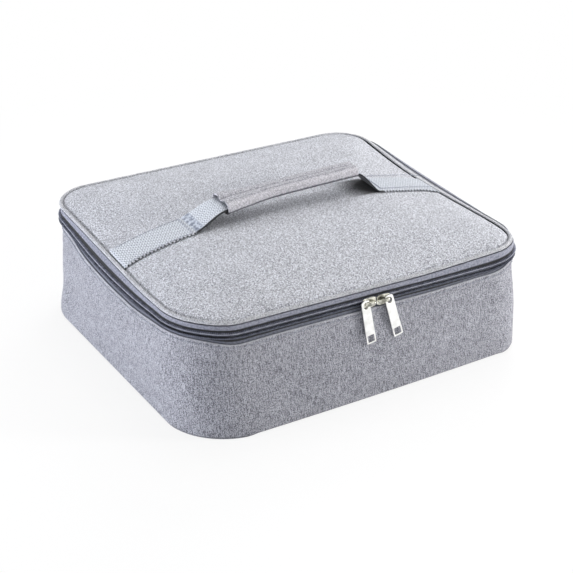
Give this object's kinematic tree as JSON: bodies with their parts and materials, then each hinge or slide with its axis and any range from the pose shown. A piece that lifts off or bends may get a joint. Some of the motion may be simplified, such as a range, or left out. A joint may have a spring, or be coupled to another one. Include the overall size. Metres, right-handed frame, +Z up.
{
  "type": "insulated lunch bag",
  "caption": "Low square insulated lunch bag with foam-lined walls, a padded zip-round lid hinged at the back, a padded webbing handle on top and two zip sliders.",
  "frame": {"origin": "centre of the flat bottom face, on the surface the bag stands on", "axes": "+X to the right along the front, +Y from the front towards the hinged back, +Z up through the lid"},
  "size_m": [0.298, 0.2733, 0.1294],
  "materials": {
    "body_cloth": "heathered grey polyester with a fine upright fleck, matt",
    "lid_cloth": "the same heathered cloth with its streaks along the width, matt",
    "grip_cloth": "the same heathered cloth, slightly warmer, matt",
    "piping": "pale warm-grey woven piping",
    "zip_tape": "slate-grey herringbone zip tape",
    "zip_coil": "dark slate nylon coil, semi-matt",
    "webbing": "pale cool-grey ribbed webbing with a slight sheen",
    "seam_binding": "grey polyester binding tape",
    "foam": "white closed-cell foam, matt",
    "lining": "silver heat-reflecting film lining, satin",
    "nickel": "bright satin nickel plating"
  },
  "bodies": {
    "bag": {"bottom_panel": "body_cloth", "bottom_foam": "foam", "bottom_lining": "lining", "bottom_seam_binding": "seam_binding", "side_wall": "body_cloth", "side_foam": "foam", "side_lining": "lining", "rim_binding": "seam_binding", "back_panel": "body_cloth", "back_foam": "foam", "back_lining": "lining", "back_seam_binding_left": "seam_binding", "back_seam_binding_right": "seam_binding", "zip_tape_lower": "zip_tape", "zip_coil_lower": "zip_coil"},
    "lid": {"lid_panel": "lid_cloth", "lid_foam": "foam", "lid_lining": "lining", "lid_piping": "piping", "lid_seam_binding": "seam_binding", "zip_tape_upper": "zip_tape", "zip_coil_upper": "zip_coil", "hinge_panel": "body_cloth", "webbing_anchor_left": "webbing", "webbing_anchor_right": "webbing"},
    "handle": {"webbing_riser_left": "webbing", "webbing_riser_right": "webbing", "grip_sleeve": "grip_cloth", "grip_padding": "foam", "grip_webbing": "webbing"},
    "slider_left": {"slider_left": "nickel"},
    "slider_right": {"slider_right": "nickel"},
    "pull_left": {"pull_left": "nickel"},
    "pull_right": {"pull_right": "nickel"}
  },
  "joints": [
    {"name": "lid_hinge", "type": "hinge", "parent": "bag", "child": "lid", "pos_m": [0, 0.1333, 0.0817], "axis": [-1, 0, 0], "range_deg": [0, 180]},
    {"name": "handle_lift", "type": "slide", "parent": "lid", "child": "handle", "axis": [0, 0, 1], "range_m": [-0.006, 0.01], "stiffness_N_per_m": 200, "springref_m": 0.001, "deforming": ["webbing_riser_left", "webbing_riser_right"]},
    {"name": "slider_left_run", "type": "slide", "parent": "bag", "child": "slider_left", "axis": [-1, 0, 0], "range_m": [0, 0.096]},
    {"name": "slider_right_run", "type": "slide", "parent": "bag", "child": "slider_right", "axis": [1, 0, 0], "range_m": [0, 0.096]},
    {"name": "pull_left_swing", "type": "hinge", "parent": "slider_left", "child": "pull_left", "pos_m": [0.0001, -0.13525, 0.0817], "axis": [0, -1, 0], "range_deg": [-100, 15]},
    {"name": "pull_right_swing", "type": "hinge", "parent": "slider_right", "child": "pull_right", "pos_m": [0.0203, -0.13525, 0.0817], "axis": [0, -1, 0], "range_deg": [-18, 74]}
  ]
}
